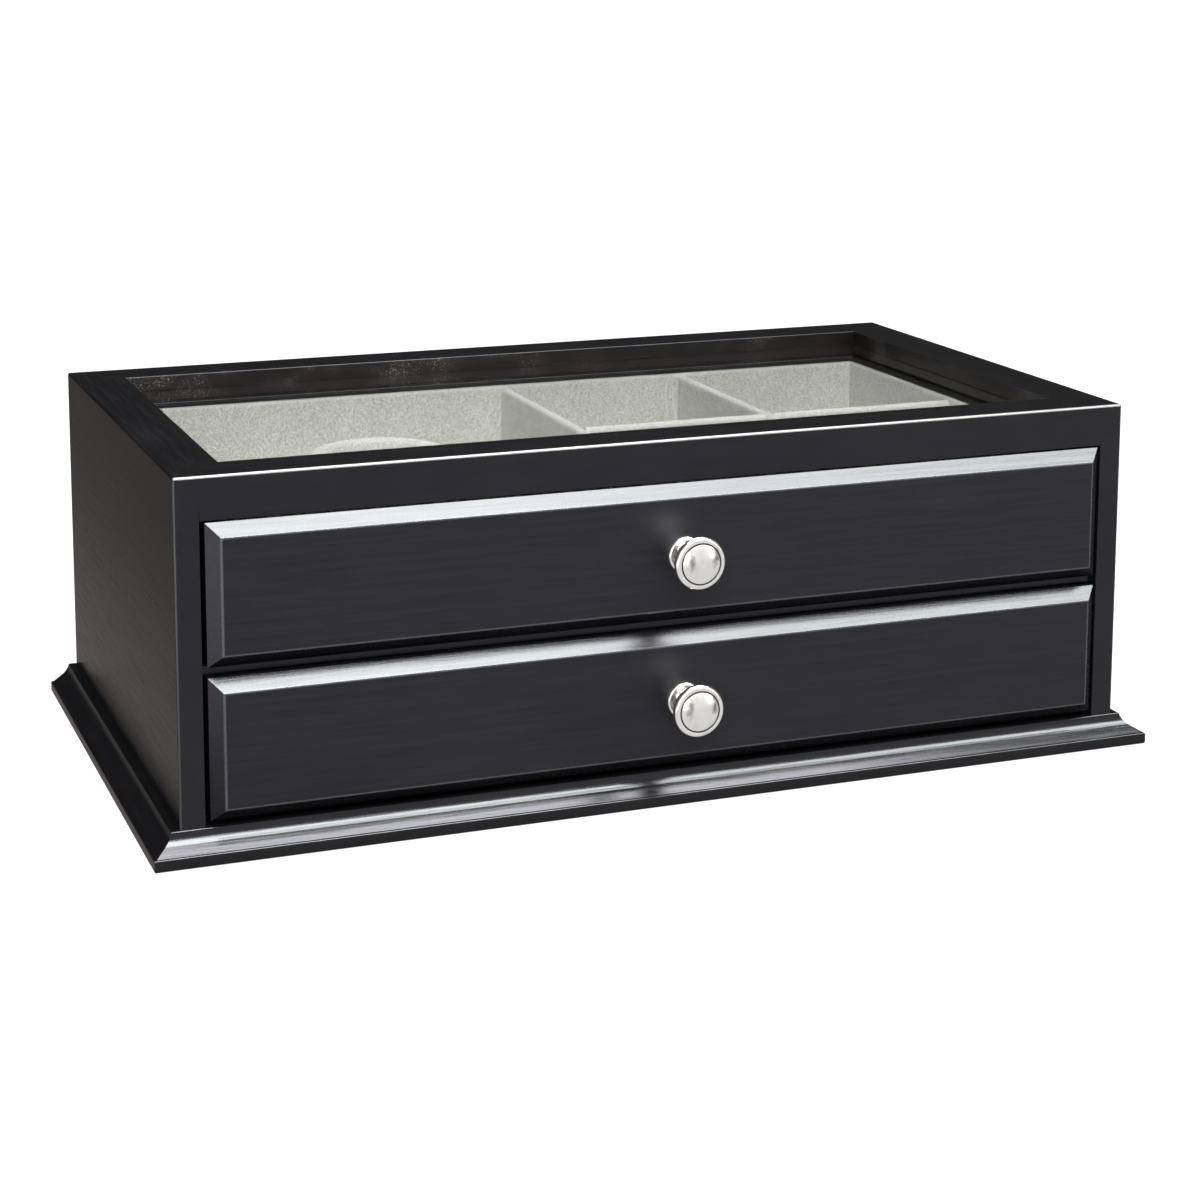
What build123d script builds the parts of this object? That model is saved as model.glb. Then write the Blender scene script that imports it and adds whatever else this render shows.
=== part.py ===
"""Tie box: a black lacquered cabinet with a fixed glazed top and two stacked drawers.

The origin is on the table under the middle of everything, knobs included. +Z is up and the drawers
open towards -Y.
"""
import os

from build123d import *

os.makedirs("parts", exist_ok=True)

# ---- cabinet, outside sizes in mm ----
cabinet_width = 350.0
cabinet_depth = 196.0
cabinet_height = 127.5

# ---- cabinet boards ----
side_thickness = 8.6
back_thickness = 5.6
bottom_thickness = 6.0
shelf_thickness = 3.0
shelf_setback = 3.0
shelf_groove_depth = 2.5
groove_clearance = 0.1
top_rail_height = 3.8
top_rail_depth = 9.0

# ---- glazed top ----
frame_thickness = 11.0
frame_width = 19.3
rebate_width = 5.2
rebate_depth = 5.5
glass_thickness = 2.0
glass_clearance = 0.5
corner_radius = 0.9
arris_radius = 0.8
eased_radius = 0.3

# ---- base moulding ----
plinth_height = 10.6
plinth_projection = 7.6
plinth_side_ledge = 2.5
plinth_edge_height = 4.2
plinth_toe_radius = 0.9
plinth_arris = 0.6
plinth_lip_flat = 0.5
slope_top_reach = 3.0
slope_top_height = 6.7
cove_hollow = 0.33

# ---- drawers ----
side_gap = 1.5
drawer_top_gap = 0.5
drawer_bottom_gap = 2.2
between_gap = 3.6
run_clearance = 0.3
rear_gap = 1.0
front_board_thickness = 12.8
front_proud = 4.8
bevel = 4.4
bevel_arris = 0.7
board_arris = 0.4
drawer_board = 7.0
box_drop = 0.2
panel_thickness = 3.0
panel_groove_depth = 3.0
panel_groove_height = 4.0

# ---- velvet lining, dividers and the round post ----
lining_thickness = 1.4
floor_lining_thickness = 1.6
lining_arris = 0.5
divider_thickness = 3.6
divider_drop = 0.9
divider_arris = 1.5
post_outer_radius = 27.3
post_inner_radius = 18.7
post_drop = 3.6
post_rim_radius = 3.6

# ---- knobs and their screws ----
knob_radius = 9.05
knob_reach = 16.4
flange_radius = 6.4
flange_thickness = 2.0
neck_radius = 3.5
neck_flare = 2.4
head_back = 9.4
head_belly = 0.55
rim_height = 12.7
shoulder_height = 14.5
dome_radius = 6.75
ring_groove_width = 0.55
ring_groove_depth = 0.5
screw_radius = 1.9
screw_head_radius = 3.5
screw_head_height = 2.1
screw_clearance = 0.25
screw_into_knob = 8.0
head_clearance = 0.5
slot_length = 4.2
slot_width = 0.9
slot_depth = 0.9

# ---- places worked out from the sizes above ----
half_width = cabinet_width / 2
middle_y = (front_proud + knob_reach) / 2
front_y = middle_y - cabinet_depth / 2
rear_y = middle_y + cabinet_depth / 2
frame_bottom = cabinet_height - frame_thickness
opening_half_width = half_width - side_thickness
opening_top = frame_bottom - top_rail_height
back_inner_y = rear_y - back_thickness
window_width = cabinet_width - 2 * frame_width
window_depth = cabinet_depth - 2 * frame_width

front_height = (
    opening_top - plinth_height - drawer_bottom_gap - between_gap - drawer_top_gap
) / 2
lower_front_bottom = plinth_height + drawer_bottom_gap
lower_front_top = lower_front_bottom + front_height
upper_front_bottom = lower_front_top + between_gap
shelf_bottom = lower_front_top + (between_gap - shelf_thickness) / 2
shelf_top = shelf_bottom + shelf_thickness

drawer_half_width = opening_half_width - side_gap
box_height = front_height - box_drop
board_back_y = front_y - front_proud + front_board_thickness
box_rear_y = back_inner_y - rear_gap
box_inner_half = drawer_half_width - drawer_board
box_inner_rear_y = box_rear_y - drawer_board
tray_half_width = box_inner_half - lining_thickness
tray_front_y = board_back_y + lining_thickness
tray_rear_y = box_inner_rear_y - lining_thickness
tray_middle_y = (tray_front_y + tray_rear_y) / 2
field_y = front_y - front_proud


def save(builder, name):
    """Label one finished piece and write it to its own file."""
    builder.part.label = name
    export_step(builder.part, f"parts/{name}.step")


def block(x_range, y_range, z_range, mode=Mode.ADD):
    """Rectangular block between pairs of limits, inside the current part."""
    with BuildSketch(Plane.XY.offset(z_range[0])) as ground:
        with Locations(((x_range[0] + x_range[1]) / 2, (y_range[0] + y_range[1]) / 2)):
            Rectangle(x_range[1] - x_range[0], y_range[1] - y_range[0])
    extrude(ground.sketch, amount=z_range[1] - z_range[0], mode=mode)


def between(low, high):
    """Pair of limits in rising order, for pieces that come in left and right versions."""
    return (min(low, high), max(low, high))


# ======== cabinet boards ========
def side_board(name, side):
    """Side of the cabinet: eased outer corners, and a groove that holds the shelf."""
    outer = side * half_width
    inner = side * opening_half_width
    with BuildPart() as board:
        block(between(outer, inner), (front_y, rear_y), (0, frame_bottom))
        corners = board.edges().filter_by(Axis.Z).group_by(Axis.X)
        outer_corners = corners[-1] if side > 0 else corners[0]
        inner_corners = corners[0] if side > 0 else corners[-1]
        fillet(outer_corners, radius=corner_radius)
        fillet(inner_corners.sort_by(Axis.Y)[0], radius=eased_radius)
        groove_floor = inner + side * (shelf_groove_depth + groove_clearance)
        block(
            between(inner, groove_floor),
            (front_y + shelf_setback - groove_clearance, back_inner_y),
            (shelf_bottom - groove_clearance / 2, shelf_top + groove_clearance / 2),
            mode=Mode.SUBTRACT,
        )
    save(board, name)


side_board("left_side", -1)
side_board("right_side", 1)

with BuildPart() as back_panel:
    block((-opening_half_width, opening_half_width), (back_inner_y, rear_y), (0, frame_bottom))
save(back_panel, "back_panel")

with BuildPart() as bottom_board:
    block(
        (-opening_half_width, opening_half_width),
        (front_y, back_inner_y),
        (plinth_height - bottom_thickness, plinth_height),
    )
save(bottom_board, "bottom_board")

with BuildPart() as drawer_shelf:
    shelf_half = opening_half_width + shelf_groove_depth
    block((-shelf_half, shelf_half), (front_y + shelf_setback, back_inner_y), (shelf_bottom, shelf_top))
    fillet(drawer_shelf.edges().filter_by(Axis.X).group_by(Axis.Y)[0], radius=eased_radius)
save(drawer_shelf, "drawer_shelf")

with BuildPart() as front_top_rail:
    block(
        (-opening_half_width, opening_half_width),
        (front_y, front_y + top_rail_depth),
        (opening_top, frame_bottom),
    )
    fillet(
        front_top_rail.edges().filter_by(Axis.X).group_by(Axis.Y)[0].sort_by(Axis.Z)[0],
        radius=eased_radius,
    )
save(front_top_rail, "front_top_rail")


# ======== glazed top: four mitred frame members, the pane and four beads under it ========
def mitre_outline(side):
    """Corners, from above, of the ground that one mitred side of the top covers."""
    left_end = (cabinet_depth / 2 - half_width, middle_y)
    right_end = (half_width - cabinet_depth / 2, middle_y)
    front_left = (-half_width, front_y)
    front_right = (half_width, front_y)
    back_left = (-half_width, rear_y)
    back_right = (half_width, rear_y)
    outlines = {
        "front": [front_left, front_right, right_end, left_end],
        "back": [back_right, back_left, left_end, right_end],
        "left": [back_left, front_left, left_end],
        "right": [front_right, back_right, right_end],
    }
    return outlines[side]


def keep_mitred_side(side):
    """Cut the ring that is being made down to one mitred side."""
    with BuildSketch(Plane.XY.offset(frame_bottom)) as ground:
        with BuildLine():
            Polyline(*mitre_outline(side), close=True)
        make_face()
    extrude(ground.sketch, amount=frame_thickness, mode=Mode.INTERSECT)


def frame_member(side):
    """One member of the top frame, rebated underneath for the pane."""
    with BuildPart() as member:
        with BuildSketch(Plane.XY.offset(frame_bottom)) as outline:
            with Locations((0, middle_y)):
                Rectangle(cabinet_width, cabinet_depth)
            fillet(outline.vertices(), radius=corner_radius)
            with Locations((0, middle_y)):
                Rectangle(window_width, window_depth, mode=Mode.SUBTRACT)
        extrude(amount=frame_thickness)
        with BuildSketch(Plane.XY.offset(frame_bottom)):
            with Locations((0, middle_y)):
                Rectangle(window_width + 2 * rebate_width, window_depth + 2 * rebate_width)
        extrude(amount=rebate_depth, mode=Mode.SUBTRACT)
        top_face = member.faces().sort_by(Axis.Z)[-1]
        inner_edges = top_face.inner_wires()[0].edges()
        outer_edges = top_face.outer_wire().edges()
        fillet(inner_edges, radius=eased_radius)
        fillet(outer_edges, radius=arris_radius)
        keep_mitred_side(side)
    save(member, f"top_frame_{side}")


def glass_bead(side):
    """Mitred strip that holds the pane up in its rebate, flush with the frame's inner wall."""
    with BuildPart() as bead:
        with BuildSketch(Plane.XY.offset(frame_bottom)):
            with Locations((0, middle_y)):
                Rectangle(window_width + 2 * rebate_width, window_depth + 2 * rebate_width)
                Rectangle(window_width, window_depth, mode=Mode.SUBTRACT)
        extrude(amount=rebate_depth - glass_thickness)
        keep_mitred_side(side)
    save(bead, f"glass_bead_{side}")


for side_name in ("front", "back", "left", "right"):
    frame_member(side_name)
    glass_bead(side_name)

with BuildPart() as glass_pane:
    with BuildSketch(Plane.XY.offset(frame_bottom + rebate_depth - glass_thickness)):
        bite = rebate_width - glass_clearance
        with Locations((0, middle_y)):
            Rectangle(window_width + 2 * bite, window_depth + 2 * bite)
    extrude(amount=glass_thickness)
save(glass_pane, "glass_pane")


# ======== base moulding: a cove round the front and both sides, mitred at the front ========
def plinth_section(ledge):
    """Cove that runs out into a slope: x is the distance out from the cabinet, y is the height."""
    outer = ledge + plinth_projection
    cove_top = (ledge + plinth_arris, plinth_height - plinth_arris)
    slope_top = (ledge + slope_top_reach, slope_top_height)
    slope_foot = (outer - plinth_arris - plinth_lip_flat, plinth_edge_height)
    reach = slope_top[0] - cove_top[0]
    drop = cove_top[1] - slope_top[1]
    chord = (reach**2 + drop**2) ** 0.5
    cove_mid = (
        (cove_top[0] + slope_top[0]) / 2 - cove_hollow * drop / chord,
        (cove_top[1] + slope_top[1]) / 2 - cove_hollow * reach / chord,
    )
    with BuildLine() as outline:
        Line((0, 0), (outer - plinth_toe_radius, 0))
        RadiusArc((outer - plinth_toe_radius, 0), (outer, plinth_toe_radius), -plinth_toe_radius)
        Line((outer, plinth_toe_radius), (outer, plinth_edge_height - plinth_arris))
        RadiusArc(
            (outer, plinth_edge_height - plinth_arris),
            (outer - plinth_arris, plinth_edge_height),
            -plinth_arris,
        )
        Polyline((outer - plinth_arris, plinth_edge_height), slope_foot, slope_top)
        ThreePointArc(slope_top, cove_mid, cove_top)
        RadiusArc(cove_top, (ledge, plinth_height), -plinth_arris)
        if ledge:
            Line((ledge, plinth_height), (0, plinth_height))
        Line((0, plinth_height), (0, 0))
    make_face(outline.edges())


left_mitre = Plane(origin=(-half_width - plinth_side_ledge, front_y, 0), z_dir=(1, -1, 0))
right_mitre = Plane(origin=(half_width + plinth_side_ledge, front_y, 0), z_dir=(-1, -1, 0))

with BuildPart() as plinth_front:
    with BuildSketch(Plane(origin=(0, front_y, 0), x_dir=(0, -1, 0), z_dir=(-1, 0, 0))):
        plinth_section(0)
    extrude(amount=half_width + plinth_side_ledge + plinth_projection, both=True)
    split(bisect_by=left_mitre, keep=Keep.TOP)
    split(bisect_by=right_mitre, keep=Keep.TOP)
save(plinth_front, "plinth_front")

with BuildPart() as plinth_left:
    with BuildSketch(Plane(origin=(-half_width, rear_y, 0), x_dir=(-1, 0, 0), z_dir=(0, 1, 0))):
        plinth_section(plinth_side_ledge)
    extrude(amount=-(cabinet_depth + plinth_projection))
    split(bisect_by=left_mitre, keep=Keep.BOTTOM)
    block(
        (-half_width - plinth_side_ledge, -half_width),
        (front_y, front_y + plinth_side_ledge),
        (0, plinth_height),
    )
save(plinth_left, "plinth_left")

with BuildPart() as plinth_right:
    with BuildSketch(Plane(origin=(half_width, rear_y, 0), x_dir=(1, 0, 0), z_dir=(0, -1, 0))):
        plinth_section(plinth_side_ledge)
    extrude(amount=cabinet_depth + plinth_projection)
    split(bisect_by=right_mitre, keep=Keep.BOTTOM)
    block(
        (half_width, half_width + plinth_side_ledge),
        (front_y, front_y + plinth_side_ledge),
        (0, plinth_height),
    )
save(plinth_right, "plinth_right")


# ======== drawers ========
def panel_groove(x_range, y_range, box_bottom):
    """Cut the groove that holds the edge of a drawer's bottom panel."""
    low = box_bottom + panel_groove_height - groove_clearance / 2
    block(x_range, y_range, (low, low + panel_thickness + groove_clearance), mode=Mode.SUBTRACT)


def drawer_front(name, front_bottom, box_bottom):
    """Front board with a raised field, a groove for the bottom panel and the knob screw's hole."""
    middle = front_bottom + front_height / 2
    with BuildPart() as board:
        block(
            (-drawer_half_width, drawer_half_width),
            (field_y, board_back_y),
            (front_bottom, front_bottom + front_height),
        )
        chamfer(board.faces().sort_by(Axis.Y)[0].edges(), length=bevel)
        fillet(board.faces().sort_by(Axis.Y)[0].edges(), radius=bevel_arris)
        groove_floor = board_back_y - panel_groove_depth
        groove_half = box_inner_half + panel_groove_depth
        panel_groove((-groove_half, groove_half), (groove_floor, board_back_y), box_bottom)
        with Locations(Plane(origin=(0, board_back_y, middle), z_dir=(0, 1, 0))):
            CounterBoreHole(
                radius=screw_radius + screw_clearance,
                counter_bore_radius=screw_head_radius + head_clearance,
                counter_bore_depth=screw_head_height + head_clearance,
            )
    save(board, name)


def drawer_side(name, side, box_bottom):
    """Side board of a drawer, grooved inside for the bottom panel."""
    outer = side * drawer_half_width
    inner = side * box_inner_half
    with BuildPart() as board:
        block(
            between(outer, inner),
            (board_back_y, box_rear_y),
            (box_bottom, box_bottom + box_height),
        )
        long_edges = board.edges().filter_by(Axis.Y).group_by(Axis.X)
        outer_edges = long_edges[-1] if side > 0 else long_edges[0]
        fillet(outer_edges, radius=board_arris)
        groove_floor = inner + side * panel_groove_depth
        panel_groove(
            between(inner, groove_floor),
            (board_back_y, box_inner_rear_y + panel_groove_depth),
            box_bottom,
        )
    save(board, name)


def drawer_back(name, box_bottom):
    """Back board of a drawer, between its sides."""
    with BuildPart() as board:
        block(
            (-box_inner_half, box_inner_half),
            (box_inner_rear_y, box_rear_y),
            (box_bottom, box_bottom + box_height),
        )
        top_edges = board.edges().filter_by(Axis.X).group_by(Axis.Z)[-1]
        fillet(top_edges.sort_by(Axis.Y)[-1], radius=board_arris)
        groove_floor = box_inner_rear_y + panel_groove_depth
        panel_groove((-box_inner_half, box_inner_half), (box_inner_rear_y, groove_floor), box_bottom)
    save(board, name)


def drawer_panel(name, box_bottom):
    """Thin bottom panel of a drawer, held in the grooves of the four boards."""
    bite = panel_groove_depth - groove_clearance
    low = box_bottom + panel_groove_height
    with BuildPart() as panel:
        block(
            (-box_inner_half - bite, box_inner_half + bite),
            (board_back_y - bite, box_inner_rear_y + bite),
            (low, low + panel_thickness),
        )
    save(panel, name)


def wall_lining(name, x_range, y_range, box_bottom, exposed):
    """Velvet covered card on one wall of a drawer, rounded over along its exposed top edge."""
    floor = box_bottom + panel_groove_height + panel_thickness
    along = Axis.X if exposed.direction.Y else Axis.Y
    with BuildPart() as card:
        block(x_range, y_range, (floor, box_bottom + box_height))
        top_edges = card.edges().filter_by(along).group_by(Axis.Z)[-1]
        fillet(top_edges.sort_by(exposed)[-1], radius=lining_arris)
    save(card, name)


def drawer_lining(prefix, box_bottom):
    """Floor and four walls of velvet covered card, for one drawer."""
    floor = box_bottom + panel_groove_height + panel_thickness
    full_width = (-box_inner_half, box_inner_half)
    tray_depth_range = (tray_front_y, tray_rear_y)
    wall_lining(f"{prefix}_front_lining", full_width, (board_back_y, tray_front_y), box_bottom, Axis.Y)
    wall_lining(
        f"{prefix}_back_lining", full_width, (tray_rear_y, box_inner_rear_y), box_bottom, -Axis.Y
    )
    wall_lining(
        f"{prefix}_left_lining", (-box_inner_half, -tray_half_width), tray_depth_range, box_bottom, Axis.X
    )
    wall_lining(
        f"{prefix}_right_lining", (tray_half_width, box_inner_half), tray_depth_range, box_bottom, -Axis.X
    )
    with BuildPart() as floor_card:
        block(
            (-tray_half_width, tray_half_width),
            tray_depth_range,
            (floor, floor + floor_lining_thickness),
        )
    save(floor_card, f"{prefix}_floor_lining")


# ======== knobs ========
def knob(name, middle):
    """Turned knob: flange against the drawer front, waisted neck, round rim and a low dome."""
    axis_plane = Plane(origin=(0, field_y, middle), x_dir=(1, 0, 0), z_dir=(0, 0, -1))
    flange_edge = (flange_radius, flange_thickness / 2)
    flange_top = (flange_radius - flange_thickness / 2, flange_thickness)
    neck_foot = (neck_radius, flange_thickness)
    neck_top = (neck_radius, head_back - neck_flare)
    head_foot = (neck_radius + neck_flare, head_back)
    rim = (knob_radius, rim_height)
    groove_outer = dome_radius + ring_groove_width
    groove_floor = shoulder_height - ring_groove_depth
    head_mid = ((head_foot[0] + knob_radius) / 2 + head_belly, (head_back + rim_height) / 2 - head_belly)
    rim_mid = ((groove_outer + knob_radius) / 2 + head_belly, (shoulder_height + rim_height) / 2 + head_belly)
    dome_rise = knob_reach - shoulder_height
    dome_curve = (dome_radius**2 + dome_rise**2) / (2 * dome_rise)
    dome_mid_drop = dome_curve - (dome_curve**2 - (dome_radius / 2) ** 2) ** 0.5
    dome_mid = (dome_radius / 2, knob_reach - dome_mid_drop)
    with BuildPart() as turned:
        with BuildSketch(axis_plane):
            with BuildLine():
                Polyline((0, 0), (flange_radius, 0), flange_edge)
                RadiusArc(flange_edge, flange_top, -flange_thickness / 2)
                Polyline(flange_top, neck_foot, neck_top)
                RadiusArc(neck_top, head_foot, neck_flare)
                ThreePointArc(head_foot, head_mid, rim)
                ThreePointArc(rim, rim_mid, (groove_outer, shoulder_height))
                Polyline(
                    (groove_outer, shoulder_height),
                    (groove_outer, groove_floor),
                    (dome_radius, groove_floor),
                    (dome_radius, shoulder_height),
                )
                ThreePointArc((dome_radius, shoulder_height), dome_mid, (0, knob_reach))
                Line((0, knob_reach), (0, 0))
            make_face()
        revolve(axis=Axis((0, field_y, middle), (0, -1, 0)))
        with Locations(Plane(origin=(0, field_y, middle), z_dir=(0, 1, 0))):
            Hole(radius=screw_radius + groove_clearance, depth=screw_into_knob + groove_clearance)
    save(turned, name)


def knob_screw(name, middle):
    """Machine screw from inside the drawer front into the knob, with a crossed slot in its head."""
    head_face_y = board_back_y - head_clearance
    shank_length = head_face_y - screw_head_height - field_y + screw_into_knob
    head_plane = Plane(origin=(0, head_face_y, middle), x_dir=(1, 0, 0), z_dir=(0, -1, 0))
    with BuildPart() as screw:
        with BuildSketch(head_plane):
            Circle(screw_head_radius)
        extrude(amount=screw_head_height)
        fillet(screw.faces().sort_by(Axis.Y)[-1].edges(), radius=board_arris)
        with BuildSketch(head_plane.offset(screw_head_height)):
            Circle(screw_radius)
        extrude(amount=shank_length)
        with BuildSketch(head_plane):
            Rectangle(slot_length, slot_width)
            Rectangle(slot_width, slot_length)
        extrude(amount=slot_depth, mode=Mode.SUBTRACT)
    save(screw, name)


def drawer(prefix, front_bottom, box_bottom):
    """Every piece that both drawers have."""
    middle = front_bottom + front_height / 2
    drawer_front(f"{prefix}_drawer_front", front_bottom, box_bottom)
    drawer_side(f"{prefix}_drawer_left_side", -1, box_bottom)
    drawer_side(f"{prefix}_drawer_right_side", 1, box_bottom)
    drawer_back(f"{prefix}_drawer_back", box_bottom)
    drawer_panel(f"{prefix}_drawer_bottom", box_bottom)
    drawer_lining(prefix, box_bottom)
    knob(f"{prefix}_knob", middle)
    knob_screw(f"{prefix}_knob_screw", middle)


upper_box_bottom = shelf_top + run_clearance
lower_box_bottom = plinth_height + run_clearance
drawer("upper", upper_front_bottom, upper_box_bottom)
drawer("lower", lower_front_bottom, lower_box_bottom)

# ======== upper drawer: dividers and the round post ========
tray_floor = upper_box_bottom + panel_groove_height + panel_thickness + floor_lining_thickness
divider_top = upper_box_bottom + box_height - divider_drop
right_divider_x = tray_half_width / 2
post_top = upper_box_bottom + box_height - post_drop


def divider(name, x_range, y_range, along):
    """Velvet wrapped divider with a rounded top."""
    with BuildPart() as wall:
        block(x_range, y_range, (tray_floor, divider_top))
        fillet(wall.edges().filter_by(along).group_by(Axis.Z)[-1], radius=divider_arris)
    save(wall, name)


half_divider = divider_thickness / 2
divider("centre_divider", (-half_divider, half_divider), (tray_front_y, tray_rear_y), Axis.Y)
divider(
    "right_divider",
    (right_divider_x - half_divider, right_divider_x + half_divider),
    (tray_front_y, tray_rear_y),
    Axis.Y,
)
cross_range = (tray_middle_y - half_divider, tray_middle_y + half_divider)
divider("cross_divider_inner", (half_divider, right_divider_x - half_divider), cross_range, Axis.X)
divider("cross_divider_outer", (right_divider_x + half_divider, tray_half_width), cross_range, Axis.X)

with BuildPart() as tie_post:
    with BuildSketch(Plane.XY.offset(tray_floor)):
        with Locations((-tray_half_width / 2, tray_middle_y)):
            Circle(post_outer_radius)
            Circle(post_inner_radius, mode=Mode.SUBTRACT)
    extrude(amount=post_top - tray_floor)
    fillet(tie_post.faces().sort_by(Axis.Z)[-1].edges(), radius=post_rim_radius)
save(tie_post, "tie_post")
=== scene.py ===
import math

import bpy
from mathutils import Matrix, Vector, noise


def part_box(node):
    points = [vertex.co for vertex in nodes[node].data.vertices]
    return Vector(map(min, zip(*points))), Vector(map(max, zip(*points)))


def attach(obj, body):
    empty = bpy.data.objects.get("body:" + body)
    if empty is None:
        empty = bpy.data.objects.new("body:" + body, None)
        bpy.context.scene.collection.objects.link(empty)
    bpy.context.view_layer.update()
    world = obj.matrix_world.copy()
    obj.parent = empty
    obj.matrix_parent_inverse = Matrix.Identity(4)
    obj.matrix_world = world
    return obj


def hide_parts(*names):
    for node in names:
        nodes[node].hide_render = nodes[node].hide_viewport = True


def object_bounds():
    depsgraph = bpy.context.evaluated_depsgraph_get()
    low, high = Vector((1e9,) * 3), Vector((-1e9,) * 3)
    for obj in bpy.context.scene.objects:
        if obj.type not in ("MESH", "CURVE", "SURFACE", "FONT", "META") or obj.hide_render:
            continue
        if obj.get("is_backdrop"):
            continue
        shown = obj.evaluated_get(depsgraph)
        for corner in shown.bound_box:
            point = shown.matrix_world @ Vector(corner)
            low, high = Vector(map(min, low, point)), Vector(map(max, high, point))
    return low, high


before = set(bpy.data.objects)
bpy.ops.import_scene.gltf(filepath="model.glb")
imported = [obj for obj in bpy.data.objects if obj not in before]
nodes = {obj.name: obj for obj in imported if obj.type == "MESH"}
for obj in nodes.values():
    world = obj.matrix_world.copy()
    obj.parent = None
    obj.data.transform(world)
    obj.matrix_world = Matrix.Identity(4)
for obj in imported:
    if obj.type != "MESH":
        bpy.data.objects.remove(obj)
cad_low, cad_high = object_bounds()
MM = 0.001
SIDE_X = 0.175
BEVEL = 4.4 * MM
PANE_BITE = 4.7 * MM
FRONT_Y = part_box("left_side")[0].y
TOP_Z = cad_high[2]


# ---------------------------------------------------------------- materials
def start_material(name):
    """A material with an empty node tree but for the output and one Principled shader."""
    material = bpy.data.materials.new(name)
    material.use_nodes = True
    tree = material.node_tree
    tree.nodes.clear()
    output = tree.nodes.new("ShaderNodeOutputMaterial")
    shader = tree.nodes.new("ShaderNodeBsdfPrincipled")
    tree.links.new(shader.outputs["BSDF"], output.inputs["Surface"])
    return material, tree, shader, output


def place_coords(tree, scale):
    """Object coordinates, which are metres in the rest frame, stretched by scale."""
    coords = tree.nodes.new("ShaderNodeTexCoord")
    mapping = tree.nodes.new("ShaderNodeMapping")
    mapping.inputs["Scale"].default_value = scale
    tree.links.new(coords.outputs["Object"], mapping.inputs["Vector"])
    return mapping.outputs["Vector"]


def noise_at(tree, vector, scale, detail=3.0, roughness=0.55):
    node = tree.nodes.new("ShaderNodeTexNoise")
    node.inputs["Scale"].default_value = scale
    node.inputs["Detail"].default_value = detail
    node.inputs["Roughness"].default_value = roughness
    tree.links.new(vector, node.inputs["Vector"])
    return node.outputs["Fac"]


def remap(tree, value, from_low, from_high, to_low, to_high):
    node = tree.nodes.new("ShaderNodeMapRange")
    node.inputs["From Min"].default_value = from_low
    node.inputs["From Max"].default_value = from_high
    node.inputs["To Min"].default_value = to_low
    node.inputs["To Max"].default_value = to_high
    tree.links.new(value, node.inputs["Value"])
    return node.outputs["Result"]


def math_node(tree, operation, a, b=None):
    node = tree.nodes.new("ShaderNodeMath")
    node.operation = operation
    for socket, value in zip(node.inputs, (a, b)):
        if isinstance(value, (int, float)):
            socket.default_value = value
        elif value is not None:
            tree.links.new(value, socket)
    return node.outputs["Value"]


def mix_colour(tree, factor, a, b):
    node = tree.nodes.new("ShaderNodeMix")
    node.data_type = "RGBA"
    for socket, value in ((node.inputs[0], factor), (node.inputs[6], a), (node.inputs[7], b)):
        if isinstance(value, (int, float)):
            socket.default_value = value
        elif isinstance(value, tuple):
            socket.default_value = (*value, 1.0)
        else:
            tree.links.new(value, socket)
    return node.outputs[2]


def mix_value(tree, factor, a, b):
    node = tree.nodes.new("ShaderNodeMix")
    for socket, value in ((node.inputs[0], factor), (node.inputs[2], a), (node.inputs[3], b)):
        if isinstance(value, (int, float)):
            socket.default_value = value
        else:
            tree.links.new(value, socket)
    return node.outputs[0]


def bump(tree, height, strength, distance, normal=None):
    node = tree.nodes.new("ShaderNodeBump")
    node.inputs["Strength"].default_value = strength
    node.inputs["Distance"].default_value = distance
    tree.links.new(height, node.inputs["Height"])
    if normal is not None:
        tree.links.new(normal, node.inputs["Normal"])
    return node.outputs["Normal"]


def arris_mask(tree, from_one_face, from_other_face, reach):
    """1 on the round between two faces, from the distances to both."""
    together = math_node(tree, "ADD", from_one_face, from_other_face)
    return remap(tree, together, 0.62 * reach, 0.95 * reach, 1.0, 0.0)


def beyond_field(tree, point, half_x, middle_z, half_z):
    """Distance past the edge of a drawer front's raised field, below 0 inside it."""
    parts = tree.nodes.new("ShaderNodeSeparateXYZ")
    tree.links.new(point, parts.inputs["Vector"])
    beyond_x = math_node(tree, "SUBTRACT", math_node(tree, "ABSOLUTE", parts.outputs["X"]), half_x)
    height = math_node(tree, "ABSOLUTE", math_node(tree, "SUBTRACT", parts.outputs["Z"], middle_z))
    beyond_z = math_node(tree, "SUBTRACT", height, half_z)
    return math_node(tree, "MAXIMUM", beyond_x, beyond_z)


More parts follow.
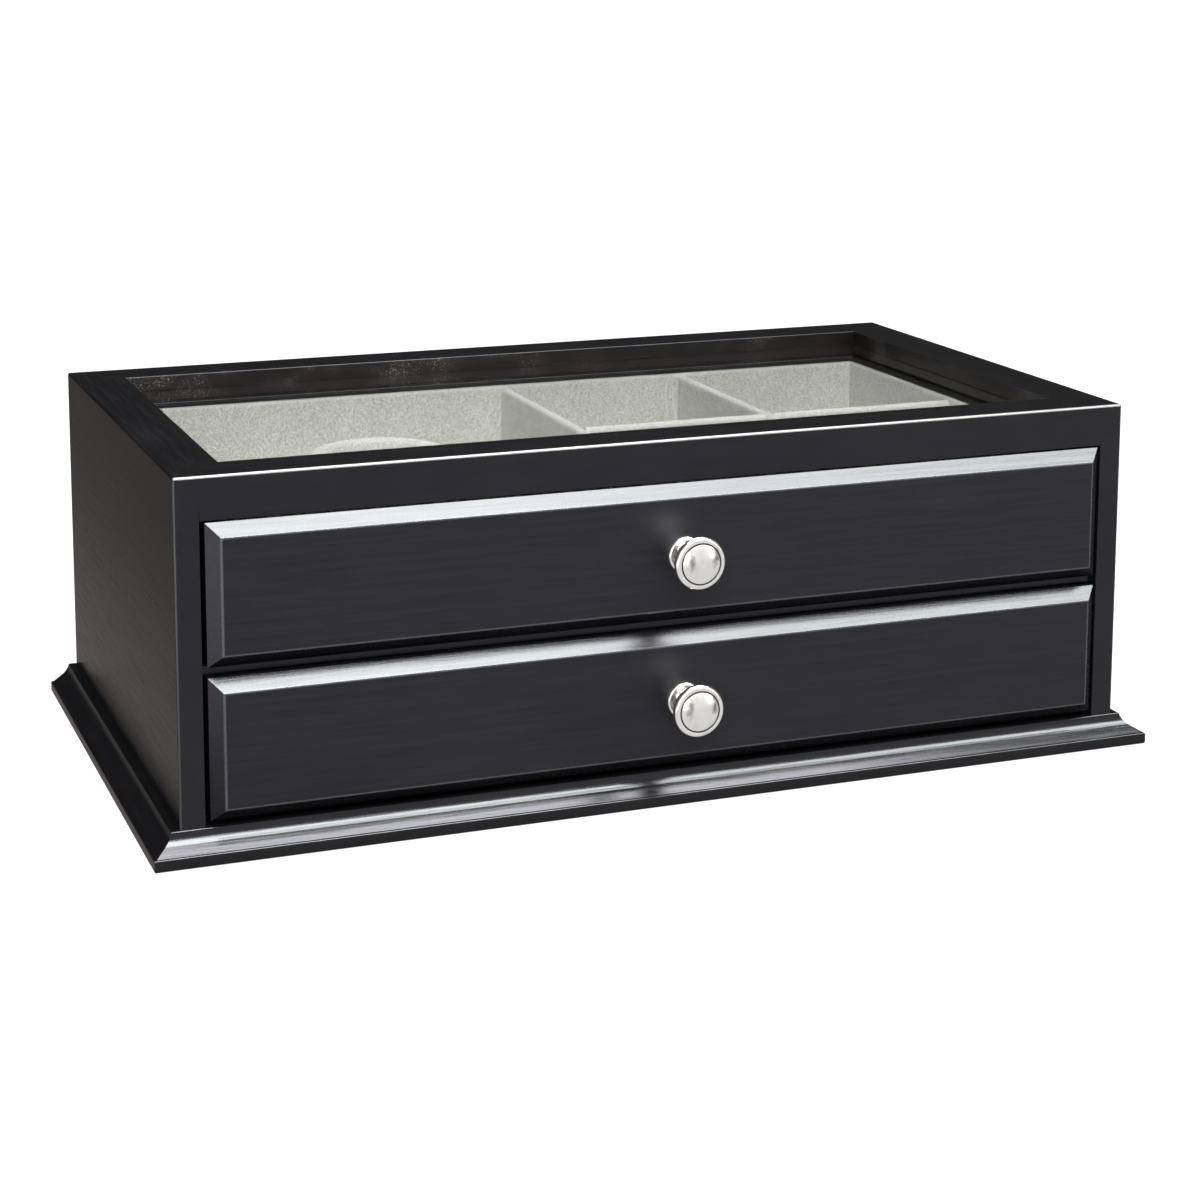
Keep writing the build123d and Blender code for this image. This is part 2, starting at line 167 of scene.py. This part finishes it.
def lacquer(name, along, tint=(0.0030, 0.0029, 0.0036), dust_and_highlight=None, rough=0.13, sheen=(0.90, 0.885, 1.0), dull=None, dull_rough=0.14, dull_level=0.5, level=0.5):
    """Black lacquer over fine wood grain that runs along one axis.

    The fourth argument takes the tree, the coordinates and a colour, and gives the colour with
    dust flecks, rubbed patches and painted highlights, as each caller asks. sheen is the colour of
    what the lacquer mirrors, and level how strongly. dull takes the tree and the coordinates and
    gives the places that are rougher and mirror less.
    """
    material, tree, shader, _ = start_material(name)
    stretch = {"X": (26, 800, 800), "Y": (800, 26, 800)}[along]
    grain = noise_at(tree, place_coords(tree, stretch), 1.0, 5.0, 0.62)
    even = place_coords(tree, (1, 1, 1))
    pores = noise_at(tree, even, 2300, 2.0)
    cloud = noise_at(tree, even, 38, 4.0)
    wash = math_node(tree, "ADD", remap(tree, cloud, 0.3, 0.7, 0.0, 0.55), remap(tree, grain, 0.4, 0.7, 0.0, 0.45))
    lighter = tuple(1.6 * c + 0.002 for c in tint)
    colour = mix_colour(tree, wash, tint, lighter)
    # dust marks and painted highlights, from the function given, go into the colour here
    if dust_and_highlight:
        colour = dust_and_highlight(tree, even, colour)
    tree.links.new(colour, shader.inputs["Base Color"])
    gloss = math_node(tree, "ADD", remap(tree, pores, 0.3, 0.7, rough, rough + 0.05), remap(tree, grain, 0.35, 0.75, 0.0, 0.11))
    shader.inputs["Specular IOR Level"].default_value = level
    if dull:
        flat = dull(tree, even)
        gloss = math_node(tree, "ADD", gloss, math_node(tree, "MULTIPLY", flat, dull_rough))
        tree.links.new(remap(tree, flat, 0.0, 1.0, level, dull_level), shader.inputs["Specular IOR Level"])
    tree.links.new(gloss, shader.inputs["Roughness"])
    normal = bump(tree, grain, 0.22, 0.00018)
    tree.links.new(bump(tree, pores, 0.10, 0.00012, normal), shader.inputs["Normal"])
    shader.inputs["IOR"].default_value = 1.42
    shader.inputs["Specular Tint"].default_value = (*sheen, 1.0)
    return material


def flecked(tree, point, base):
    """Dust, flecks and rubbed patches on the inner walls round the pane."""
    fleck = noise_at(tree, point, 1900, 1.0)
    parts = tree.nodes.new("ShaderNodeSeparateXYZ")
    tree.links.new(point, parts.inputs["Vector"])
    leftward = remap(tree, parts.outputs["X"], -0.155, 0.06, 0.08, -0.03)
    where = math_node(tree, "ADD", noise_at(tree, point, 60, 3.0), leftward)
    mask = math_node(
        tree,
        "MULTIPLY",
        remap(tree, fleck, 0.60, 0.70, 0.0, 1.0),
        remap(tree, where, 0.52, 0.66, 0.0, 1.0),
    )
    rubbed = mix_colour(tree, remap(tree, where, 0.44, 0.68, 0.0, 0.6), base, (0.016, 0.0125, 0.011))
    return mix_colour(tree, mask, rubbed, (0.150, 0.142, 0.130))


def speckled(name, along):
    """The lacquer of the strips round the pane, rubbed and flecked with dust and bare spots."""
    return lacquer(name, along, (0.0055, 0.0042, 0.0038), dust_and_highlight=flecked, rough=0.26, sheen=(1.0, 0.86, 0.82), level=0.25)


def drawer_wood(name, along):
    """Dark stained drawer board, matte, with a straight grain."""
    material, tree, shader, _ = start_material(name)
    stretch = {"X": (9, 160, 160), "Y": (160, 9, 160)}[along]
    bands = noise_at(tree, place_coords(tree, stretch), 1.0, 6.0, 0.6)
    fibre = noise_at(tree, place_coords(tree, tuple(6 * s for s in stretch)), 1.0, 3.0)
    wash = math_node(tree, "ADD", remap(tree, bands, 0.3, 0.7, 0.0, 0.7), remap(tree, fibre, 0.3, 0.7, 0.0, 0.3))
    tree.links.new(mix_colour(tree, wash, (0.010, 0.009, 0.009), (0.030, 0.024, 0.021)), shader.inputs["Base Color"])
    tree.links.new(remap(tree, fibre, 0.2, 0.8, 0.42, 0.62), shader.inputs["Roughness"])
    tree.links.new(bump(tree, fibre, 0.3, 0.0002), shader.inputs["Normal"])
    return material


def velvet(name, crest):
    """Short grey beige pile: fine grain, brushed patches, a soft sheen, and a painted highlight along the crest.

    crest is the height of the upper edge, near which the colour is painted paler as a highlight.
    """
    material, tree, shader, _ = start_material(name)
    even = place_coords(tree, (1, 1, 1))
    pile = noise_at(tree, even, 1300, 4.0, 0.72)
    fine = noise_at(tree, even, 4200, 2.0)
    brushed = noise_at(tree, even, 45, 3.0)
    wash = math_node(tree, "ADD", remap(tree, pile, 0.38, 0.62, 0.0, 0.85), remap(tree, brushed, 0.3, 0.7, 0.0, 0.15))
    flat = mix_colour(tree, wash, (0.365, 0.365, 0.332), (0.715, 0.715, 0.668))
    crest_highlight = mix_colour(tree, wash, (0.620, 0.620, 0.590), (0.830, 0.830, 0.800))
    parts = tree.nodes.new("ShaderNodeSeparateXYZ")
    tree.links.new(even, parts.inputs["Vector"])
    # painted highlight: the top of each velvet piece is painted paler, as if lit from above
    upper = remap(tree, parts.outputs["Z"], crest - 1.7 * MM, crest - 0.4 * MM, 0.0, 1.0)
    tree.links.new(mix_colour(tree, upper, flat, crest_highlight), shader.inputs["Base Color"])
    tree.links.new(remap(tree, fine, 0.2, 0.8, 0.86, 1.0), shader.inputs["Roughness"])
    normal = bump(tree, pile, 0.40, 0.0002)
    tree.links.new(bump(tree, fine, 0.3, 0.00015, normal), shader.inputs["Normal"])
    shader.inputs["Specular IOR Level"].default_value = 0.2
    shader.inputs["Sheen Weight"].default_value = 0.35
    shader.inputs["Sheen Roughness"].default_value = 0.45
    shader.inputs["Sheen Tint"].default_value = (0.95, 0.95, 0.88, 1.0)
    return material


def clear_glass(name):
    """Clear pane that lets lamp light through to what lies under it."""
    material, tree, shader, output = start_material(name)
    shader.inputs["Transmission Weight"].default_value = 1.0
    shader.inputs["IOR"].default_value = 1.40
    shader.inputs["Roughness"].default_value = 0.0
    smear = noise_at(tree, place_coords(tree, (1, 1, 1)), 55, 4.0)
    tree.links.new(
        mix_colour(tree, remap(tree, smear, 0.35, 0.65, 0.0, 1.0), (0.975, 0.985, 0.978), (0.995, 1.0, 0.997)),
        shader.inputs["Base Color"],
    )
    path = tree.nodes.new("ShaderNodeLightPath")
    passing = math_node(tree, "MAXIMUM", path.outputs["Is Shadow Ray"], path.outputs["Is Diffuse Ray"])
    through = tree.nodes.new("ShaderNodeBsdfTransparent")
    through.inputs["Color"].default_value = (0.985, 0.99, 0.985, 1.0)
    mix = tree.nodes.new("ShaderNodeMixShader")
    tree.links.new(passing, mix.inputs[0])
    tree.links.new(shader.outputs["BSDF"], mix.inputs[1])
    tree.links.new(through.outputs["BSDF"], mix.inputs[2])
    tree.links.new(mix.outputs["Shader"], output.inputs["Surface"])
    return material


def turned_metal(name, axis_x, axis_z, colour, low_rough, high_rough, groove=None, dark_reflections=()):
    """Plated metal turned on a lathe: faint rings round the axis and mottled, satin gloss.

    groove is the radius and the half width of a ring painted dark. The patches given after it are
    painted dark reflections, each with its place across and up from the axis and its half sizes.
    """
    material, tree, shader, _ = start_material(name)
    shader.inputs["Metallic"].default_value = 1.0
    coords = tree.nodes.new("ShaderNodeTexCoord")
    parts = tree.nodes.new("ShaderNodeSeparateXYZ")
    tree.links.new(coords.outputs["Object"], parts.inputs["Vector"])
    across = math_node(tree, "SUBTRACT", parts.outputs["X"], axis_x)
    up = math_node(tree, "SUBTRACT", parts.outputs["Z"], axis_z)
    square = math_node(tree, "ADD", math_node(tree, "MULTIPLY", across, across), math_node(tree, "MULTIPLY", up, up))
    radius = math_node(tree, "SQRT", square)
    line = tree.nodes.new("ShaderNodeCombineXYZ")
    tree.links.new(radius, line.inputs["X"])
    tree.links.new(parts.outputs["Y"], line.inputs["Y"])
    rings = noise_at(tree, line.outputs["Vector"], 5200, 2.0)
    mottle = noise_at(tree, place_coords(tree, (1, 1, 1)), 420, 4.0, 0.6)
    patches = noise_at(tree, place_coords(tree, (260, 260, 90)), 1.0, 3.0)
    plated = mix_colour(
        tree, remap(tree, patches, 0.54, 0.74, 0.0, 0.5), colour, tuple(0.8 * c for c in colour)
    )
    # painted reflection: each patch darkens the plating where the knob mirrors dark surroundings
    for centre_x, centre_z, half_x, half_z in dark_reflections:
        dx = math_node(tree, "DIVIDE", math_node(tree, "SUBTRACT", across, centre_x), half_x)
        dz = math_node(tree, "DIVIDE", math_node(tree, "SUBTRACT", up, centre_z), half_z)
        reach = math_node(tree, "SQRT", math_node(tree, "ADD", math_node(tree, "MULTIPLY", dx, dx), math_node(tree, "MULTIPLY", dz, dz)))
        broken = math_node(tree, "ADD", reach, remap(tree, mottle, 0.3, 0.7, -0.5, 0.5))
        plated = mix_colour(tree, remap(tree, broken, 0.1, 1.15, 0.85, 0.0), plated, (0.22, 0.19, 0.165))
    if groove:
        away = math_node(tree, "ABSOLUTE", math_node(tree, "SUBTRACT", radius, groove[0]))
        plated = mix_colour(tree, remap(tree, away, 0.8 * groove[1], 1.2 * groove[1], 1.0, 0.0), plated, (0.05, 0.045, 0.04))
    tree.links.new(plated, shader.inputs["Base Color"])
    tree.links.new(remap(tree, mottle, 0.3, 0.7, low_rough, high_rough), shader.inputs["Roughness"])
    normal = bump(tree, rings, 0.06, 0.00003)
    tree.links.new(bump(tree, mottle, 0.06, 0.00005, normal), shader.inputs["Normal"])
    return material


lacquer_x = lacquer("black_lacquer_x", "X")
lacquer_y = lacquer("black_lacquer_y", "Y")


def box_arris_highlight(tree, point, colour):
    """Painted highlights on the cabinet's front arrises: a little down the corners, more along the top."""
    parts = tree.nodes.new("ShaderNodeSeparateXYZ")
    tree.links.new(point, parts.inputs["Vector"])
    from_side = math_node(tree, "SUBTRACT", SIDE_X, math_node(tree, "ABSOLUTE", parts.outputs["X"]))
    from_front = math_node(tree, "SUBTRACT", parts.outputs["Y"], FRONT_Y)
    from_top = math_node(tree, "SUBTRACT", TOP_Z, parts.outputs["Z"])
    upright_highlight = arris_mask(tree, from_side, from_front, 0.9 * MM)
    top_highlight = arris_mask(tree, from_top, from_front, 0.9 * MM)
    # painted highlight: the front corners a little lighter and the top front arris light grey
    corners = mix_colour(tree, upright_highlight, colour, (0.035, 0.035, 0.037))
    return mix_colour(tree, top_highlight, corners, (0.32, 0.32, 0.31))


def frame_wall(tree, point):
    """1 on the frame's inner walls, round the pane."""
    low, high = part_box("glass_pane")
    middle = (low + high) / 2
    half = (high - low) / 2
    parts = tree.nodes.new("ShaderNodeSeparateXYZ")
    tree.links.new(point, parts.inputs["Vector"])
    beyond_x = math_node(tree, "SUBTRACT", math_node(tree, "ABSOLUTE", parts.outputs["X"]), half.x - PANE_BITE)
    depth = math_node(tree, "ABSOLUTE", math_node(tree, "SUBTRACT", parts.outputs["Y"], middle.y))
    beyond_y = math_node(tree, "SUBTRACT", depth, half.y - PANE_BITE)
    return remap(tree, math_node(tree, "MAXIMUM", beyond_x, beyond_y), 0.05 * MM, 0.35 * MM, 1.0, 0.0)


def frame_highlight_and_dust(tree, point, colour):
    """Painted highlights on the frame's front arrises, and its inner walls browner and flecked with dust."""
    inner = flecked(tree, point, (0.0055, 0.0042, 0.0038))
    return box_arris_highlight(tree, point, mix_colour(tree, frame_wall(tree, point), colour, inner))


# side panels: lacquer with painted highlights on the front arrises
highlit_lacquer_y = lacquer("highlit_lacquer_y", "Y", dust_and_highlight=box_arris_highlight)
frame_x = lacquer("frame_lacquer_x", "X", dust_and_highlight=frame_highlight_and_dust, dull=frame_wall, dull_level=0.2)
frame_y = lacquer("frame_lacquer_y", "Y", dust_and_highlight=frame_highlight_and_dust, dull=frame_wall, dull_level=0.2)


def front_lacquer(drawer):
    """Lacquer of one drawer front: a satin field, with a painted highlight along its arrises."""
    low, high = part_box(f"{drawer}_drawer_front")
    half_x = (high.x - low.x) / 2 - BEVEL
    half_z = (high.z - low.z) / 2 - BEVEL
    middle_z = (low.z + high.z) / 2

    # painted highlight: the lacquer lightened along the raised field's arrises
    def field_arris_highlight(tree, point, colour):
        away = math_node(tree, "ABSOLUTE", beyond_field(tree, point, half_x, middle_z, half_z))
        return mix_colour(tree, remap(tree, away, 0.16 * MM, 0.55 * MM, 1.0, 0.0), colour, (0.050, 0.050, 0.057))

    def satin_field(tree, point):
        return remap(tree, beyond_field(tree, point, half_x, middle_z, half_z), -0.8 * MM, 0.0, 1.0, 0.0)

    return lacquer(
        f"black_lacquer_{drawer}_front",
        "X",
        (0.0026, 0.0026, 0.0036),
        dust_and_highlight=field_arris_highlight,
        rough=0.18,
        dull=satin_field,
        dull_rough=0.17,
    )


wood_x = drawer_wood("drawer_wood_x", "X")
wood_y = drawer_wood("drawer_wood_y", "Y")
WALL_VELVET = {drawer: velvet(f"velvet_{drawer}_walls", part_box(f"{drawer}_back_lining")[1].z) for drawer in ("upper", "lower")}
DIVIDER_VELVET = velvet("velvet_dividers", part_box("centre_divider")[1].z)
POST_VELVET = velvet("velvet_post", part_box("tie_post")[1].z)
NICKEL = (0.93, 0.91, 0.875)
STEEL = (0.55, 0.55, 0.56)
# places of painted dark reflection on each knob, across and up from its axis, with half sizes
DARK_REFLECTION_PATCHES = (
    (-3.9 * MM, 1.3 * MM, 1.3 * MM, 3.0 * MM),
    (5.2 * MM, 1.9 * MM, 1.4 * MM, 3.2 * MM),
)


def dress(name, material):
    """Give a carried over node its material."""
    mesh = nodes[name].data
    mesh.materials.clear()
    mesh.materials.append(material)


for name in ("back_panel", "bottom_board", "drawer_shelf", "front_top_rail", "plinth_front"):
    dress(name, lacquer_x)
for name in ("plinth_left", "plinth_right"):
    dress(name, lacquer_y)
for name in ("left_side", "right_side"):
    dress(name, highlit_lacquer_y)
for name in ("top_frame_left", "top_frame_right"):
    dress(name, frame_y)
for name in ("top_frame_front", "top_frame_back"):
    dress(name, frame_x)
speckled_x = speckled("speckled_lacquer_x", "X")
speckled_y = speckled("speckled_lacquer_y", "Y")
for name in ("glass_bead_front", "glass_bead_back"):
    dress(name, speckled_x)
for name in ("glass_bead_left", "glass_bead_right"):
    dress(name, speckled_y)
dress("glass_pane", clear_glass("clear_glass"))
for drawer in ("upper", "lower"):
    dress(f"{drawer}_drawer_front", front_lacquer(drawer))
    dress(f"{drawer}_drawer_left_side", wood_y)
    dress(f"{drawer}_drawer_right_side", wood_y)
    dress(f"{drawer}_drawer_back", wood_x)
    dress(f"{drawer}_drawer_bottom", wood_x)
    low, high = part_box(f"{drawer}_knob")
    middle = (low + high) / 2
    dress(f"{drawer}_knob", turned_metal(f"satin_nickel_{drawer}", middle.x, middle.z, NICKEL, 0.17, 0.27, (7.02 * MM, 0.27 * MM), DARK_REFLECTION_PATCHES))
    dress(f"{drawer}_knob_screw", turned_metal(f"screw_steel_{drawer}", middle.x, middle.z, STEEL, 0.30, 0.45))


# ---------------------------------------------------------------- velvet pieces
def loft(name, rings, material, closed=False):
    """Skin over rings of points. An open skin gets its two ends capped."""
    count = len(rings[0])
    points = [tuple(p) for ring in rings for p in ring]
    faces = []
    spans = len(rings) if closed else len(rings) - 1
    for i in range(spans):
        a = i * count
        b = ((i + 1) % len(rings)) * count
        for j in range(count):
            k = (j + 1) % count
            faces.append((a + j, a + k, b + k, b + j))
    if not closed:
        faces.append(tuple(range(count - 1, -1, -1)))
        faces.append(tuple(range((len(rings) - 1) * count, len(rings) * count)))
    mesh = bpy.data.meshes.new(name)
    mesh.from_pydata(points, [], faces)
    mesh.shade_smooth()
    mesh.set_sharp_from_angle(angle=math.radians(50))
    piece = bpy.data.objects.new(name, mesh)
    bpy.context.scene.collection.objects.link(piece)
    mesh.materials.append(material)
    return piece


def steps(start, end, longest):
    """Evenly spaced values from start to end, no further apart than longest."""
    count = max(1, math.ceil(abs(end - start) / longest))
    return [start + (end - start) * i / count for i in range(count + 1)]


def section(width, height, round_left, round_right, cell):
    """Outline of a card's end: up the left, over the top, down the right and back along the foot."""
    outline = [(0.0, h) for h in steps(0.0, height - max(round_left, 0.0), cell)]
    for turn in steps(0.0, math.pi / 2, math.pi / 10)[1:] if round_left else []:
        outline.append((round_left * (1 - math.cos(turn)), height - round_left * (1 - math.sin(turn))))
    flat_start = round_left
    flat_end = width - round_right
    outline += [(w, height) for w in steps(flat_start, flat_end, cell)[1:]]
    for turn in steps(0.0, math.pi / 2, math.pi / 10)[1:] if round_right else []:
        outline.append((flat_end + round_right * math.sin(turn), height - round_right * (1 - math.cos(turn))))
    outline += [(width, h) for h in steps(height - round_right, 0.0, cell)[1:]]
    outline += [(w, 0.0) for w in steps(width, 0.0, cell)[1:-1]]
    return outline


def uneven(point, amount, cell=0.011):
    """Shift of a point on hand laid cloth: slow waves and a little short wobble."""
    slow = noise.noise_vector(point / cell)
    short = noise.noise_vector(point / (0.24 * cell))
    return amount * slow + 0.35 * amount * short


def card(node, body, along, round_low, round_high, ripple, material, cell=0.0035, seam=0.0):
    """Velvet covered card in the place of a node, lying along X or Y. It ends seam short of it."""
    low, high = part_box(node)
    across = "Y" if along == "X" else "X"
    index = {"X": 0, "Y": 1}
    width = high[index[across]] - low[index[across]]
    height = high.z - low.z
    outline = section(width, height, round_low, round_high, cell)
    rings = []
    for s in steps(low[index[along]] + seam, high[index[along]] - seam, cell):
        ring = []
        for w, h in outline:
            point = Vector((0, 0, low.z + h))
            point[index[along]] = s
            point[index[across]] = low[index[across]] + w
            shift = uneven(point, ripple)
            shift[index[along]] = 0.0
            shift.z = min(shift.z, 0.0) if h > 0.5 * height else 0.0
            inside = min(w, width - w) > 0.05 * width
            if not inside:
                shift[index[across]] = abs(shift[index[across]]) * (1 if w < width / 2 else -1)
            ring.append(point + shift)
        rings.append(ring)
    piece = loft("velvet_" + node, rings, material)
    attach(piece, body)
    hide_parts(node)
    return piece


for drawer in ("upper", "lower"):
    body = f"{drawer}_drawer"
    roll = 0.55 * MM
    cloth = WALL_VELVET[drawer]
    card(f"{drawer}_front_lining", body, "X", 0.0, roll, 0.10 * MM, cloth)
    card(f"{drawer}_back_lining", body, "X", roll, 0.0, 0.10 * MM, cloth)
    card(f"{drawer}_left_lining", body, "Y", 0.0, roll, 0.10 * MM, cloth, seam=0.32 * MM)
    card(f"{drawer}_right_lining", body, "Y", roll, 0.0, 0.10 * MM, cloth, seam=0.32 * MM)
    card(f"{drawer}_floor_lining", body, "X", 0.0, 0.0, 0.16 * MM, cloth)

for node, along in (
    ("centre_divider", "Y"),
    ("right_divider", "Y"),
    ("cross_divider_inner", "X"),
    ("cross_divider_outer", "X"),
):
    wall = card(node, "upper_drawer", along, 1.7 * MM, 1.7 * MM, 0.16 * MM, DIVIDER_VELVET, 0.0025, 0.22 * MM)


def pleat(turn, seed):
    """Gathered cloth: folds of uneven width, 0 on a fold's back and 1 in the tuck between two."""
    folds = 38
    wander = 0.35 * noise.noise(Vector((math.cos(turn) * 2.2, math.sin(turn) * 2.2, seed)))
    phase = turn * folds / 2 + wander * 6
    return 1 - abs(math.sin(phase)) ** 0.7


low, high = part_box("tie_post")
post_middle = (low + high) / 2
outer = (high.x - low.x) / 2 - 0.15 * MM
inner = 18.7 * MM
half_wall = (outer - inner) / 2
rim_rise = 4.6 * MM
post_rings = []
for i in range(304):
    turn = 2 * math.pi * i / 304
    tuck = pleat(turn, 3.1)
    profile = []
    for h in steps(low.z, high.z - rim_rise, 0.0024):
        gather = 0.10 * MM * tuck
        profile.append((outer - gather, h))
    for arc in steps(0.0, math.pi, math.pi / 14)[1:-1]:
        puff = 1 - 0.35 * MM / rim_rise * tuck * math.sin(arc / 2) ** 2
        r = (outer + inner) / 2 + half_wall * math.cos(arc)
        profile.append((r, high.z - rim_rise + rim_rise * math.sin(arc) ** 0.9 * puff - 0.1 * MM))
    for h in steps(high.z - rim_rise, low.z, 0.0024):
        depth = min(1.0, 0.45 + (high.z - rim_rise - h) / (5 * MM))
        profile.append((inner + 0.75 * MM * tuck * depth, h))
    ring = []
    for r, h in profile:
        point = Vector((post_middle.x + r * math.cos(turn), post_middle.y + r * math.sin(turn), h))
        shift = uneven(point, 0.10 * MM)
        shift.z = min(0.0, shift.z)
        ring.append(point + shift)
    post_rings.append(ring)
post = loft("velvet_tie_post", post_rings, POST_VELVET, closed=True)
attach(post, "upper_drawer")
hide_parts("tie_post")


# ---------------------------------------------------------------- floor, lamps and camera
def make_floor():
    """Pale floor. It is white to the camera but for the soft shadow that falls on it."""
    mesh = bpy.data.meshes.new("floor")
    reach = 12.0
    corners = [(-reach, -reach, 0), (reach, -reach, 0), (reach, reach, 0), (-reach, reach, 0)]
    mesh.from_pydata(corners, [], [(0, 1, 2, 3)])
    floor = bpy.data.objects.new("floor", mesh)
    floor.location.z = -0.0003
    bpy.context.scene.collection.objects.link(floor)
    material, tree, shader, output = start_material("pale_floor")
    even = place_coords(tree, (1, 1, 1))
    grain = noise_at(tree, even, 300, 3.0)
    tree.links.new(
        mix_colour(tree, remap(tree, grain, 0.3, 0.7, 0.0, 1.0), (0.30, 0.30, 0.30), (0.34, 0.34, 0.34)),
        shader.inputs["Base Color"],
    )
    shader.inputs["Roughness"].default_value = 0.9
    shader.inputs["Specular IOR Level"].default_value = 0.0
    parts = tree.nodes.new("ShaderNodeSeparateXYZ")
    tree.links.new(even, parts.inputs["Vector"])
    distance = tree.nodes.new("ShaderNodeVectorMath")
    distance.operation = "LENGTH"
    tree.links.new(even, distance.inputs[0])
    seen = remap(tree, distance.outputs["Value"], 0.35, 1.6, 0.84, 1.0)
    behind = remap(tree, parts.outputs["Y"], -0.115, -0.085, 0.0, 1.0)
    left = remap(tree, parts.outputs["X"], -0.24, -0.42, 0.0, 1.3)
    beside = remap(tree, parts.outputs["X"], -0.25, -0.185, 0.10, 0.26)
    mirrored = mix_value(tree, behind, math_node(tree, "ADD", left, 0.71), beside)
    path = tree.nodes.new("ShaderNodeLightPath")
    glossy = math_node(tree, "MAXIMUM", path.outputs["Is Glossy Ray"], path.outputs["Is Transmission Ray"])
    strength = math_node(
        tree,
        "ADD",
        math_node(tree, "MULTIPLY", path.outputs["Is Camera Ray"], seen),
        math_node(tree, "MULTIPLY", glossy, mirrored),
    )
    glow = tree.nodes.new("ShaderNodeEmission")
    tree.links.new(strength, glow.inputs["Strength"])
    warmth = math_node(tree, "MULTIPLY", behind, glossy)
    tree.links.new(mix_colour(tree, warmth, (1.0, 1.0, 1.0), (1.0, 0.88, 0.85)), glow.inputs["Color"])
    matte = tree.nodes.new("ShaderNodeMixShader")
    dark = tree.nodes.new("ShaderNodeBsdfTransparent")
    dark.inputs["Color"].default_value = (0, 0, 0, 1)
    tree.links.new(glossy, matte.inputs[0])
    tree.links.new(shader.outputs["BSDF"], matte.inputs[1])
    tree.links.new(dark.outputs["BSDF"], matte.inputs[2])
    total = tree.nodes.new("ShaderNodeAddShader")
    tree.links.new(matte.outputs["Shader"], total.inputs[0])
    tree.links.new(glow.outputs["Emission"], total.inputs[1])
    tree.links.new(total.outputs["Shader"], output.inputs["Surface"])
    mesh.materials.append(material)
    floor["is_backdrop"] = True


def area_lamp(name, place, aim, size_x, size_y, power, colour=(1, 1, 1)):
    data = bpy.data.lights.new(name, "AREA")
    data.shape = "RECTANGLE"
    data.size = size_x
    data.size_y = size_y
    data.energy = power
    data.color = colour
    lamp = bpy.data.objects.new(name, data)
    lamp.location = place
    lamp.rotation_euler = (Vector(aim) - Vector(place)).to_track_quat("-Z", "Y").to_euler()
    lamp.visible_camera = False
    bpy.context.scene.collection.objects.link(lamp)
    return lamp


def make_world():
    """White to the camera. Mirrored in the object it is bright in front and dark behind."""
    world = bpy.data.worlds.new("studio")
    world.use_nodes = True
    tree = world.node_tree
    tree.nodes.clear()
    output = tree.nodes.new("ShaderNodeOutputWorld")
    path = tree.nodes.new("ShaderNodeLightPath")
    glow = tree.nodes.new("ShaderNodeBackground")
    glow.inputs["Color"].default_value = (1, 1, 1, 1)
    coords = tree.nodes.new("ShaderNodeTexCoord")
    parts = tree.nodes.new("ShaderNodeSeparateXYZ")
    tree.links.new(coords.outputs["Generated"], parts.inputs["Vector"])
    glossy = math_node(tree, "MAXIMUM", path.outputs["Is Glossy Ray"], path.outputs["Is Transmission Ray"])
    mirrored = math_node(tree, "MULTIPLY", glossy, remap(tree, parts.outputs["Y"], -0.35, 0.05, 0.80, 0.026))
    lit = math_node(tree, "MULTIPLY", path.outputs["Is Diffuse Ray"], 0.30)
    strength = math_node(tree, "ADD", path.outputs["Is Camera Ray"], math_node(tree, "MAXIMUM", mirrored, lit))
    tree.links.new(strength, glow.inputs["Strength"])
    tree.links.new(glow.outputs["Background"], output.inputs["Surface"])
    bpy.context.scene.world = world


make_floor()
make_world()
CARD_TINT = (0.93, 1.0, 0.895)
front_card = area_lamp("overhead_front_card", (0.52, -0.60, 1.30), (0.52, -0.60, 0.0), 1.35, 0.60, 61, CARD_TINT)
left_card = area_lamp("overhead_left_card", (0.13, -0.60, 1.31), (0.13, -0.60, 0.0), 0.60, 0.60, 9.5, CARD_TINT)
back_card = area_lamp("overhead_back_card", (0.25, 0.35, 1.30), (0.25, 0.35, 0.0), 0.95, 1.30, 66)
for card_lamp in (front_card, left_card, back_card):
    card_lamp.visible_diffuse = False
front_high = area_lamp("front_high_soft", (-0.45, -1.35, 1.30), (0.0, 0.05, 0.08), 1.1, 0.8, 54)
front_high.visible_glossy = False
area_lamp("top_soft", (0.25, -0.40, 1.75), (0.0, 0.0, 0.05), 1.6, 1.3, 12)
area_lamp("front_left_soft", (-1.3, -1.9, 0.9), (0.0, 0.0, 0.06), 0.9, 0.9, 13)
area_lamp("right_soft", (1.6, -1.2, 0.7), (0.0, 0.0, 0.06), 0.5, 0.9, 4)

FOCAL_PIXELS = 2525.5
PICTURE = 1200
SENSOR = 36.0
camera_data = bpy.data.cameras.new("camera")
camera_data.sensor_width = SENSOR
camera_data.lens = FOCAL_PIXELS / PICTURE * SENSOR
camera_data.shift_x = 50 / PICTURE
camera_data.shift_y = -300 / PICTURE
camera_data.clip_start = 0.05
camera_data.clip_end = 60.0
camera = bpy.data.objects.new("camera", camera_data)
camera.location = (-0.3329, -0.8630, 0.3070)
camera.rotation_euler = (math.radians(90 - 8.877), 0.0, math.radians(-20.223))
bpy.context.scene.collection.objects.link(camera)
bpy.context.scene.camera = camera

bpy.context.scene.view_settings.view_transform = "Standard"

low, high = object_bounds()
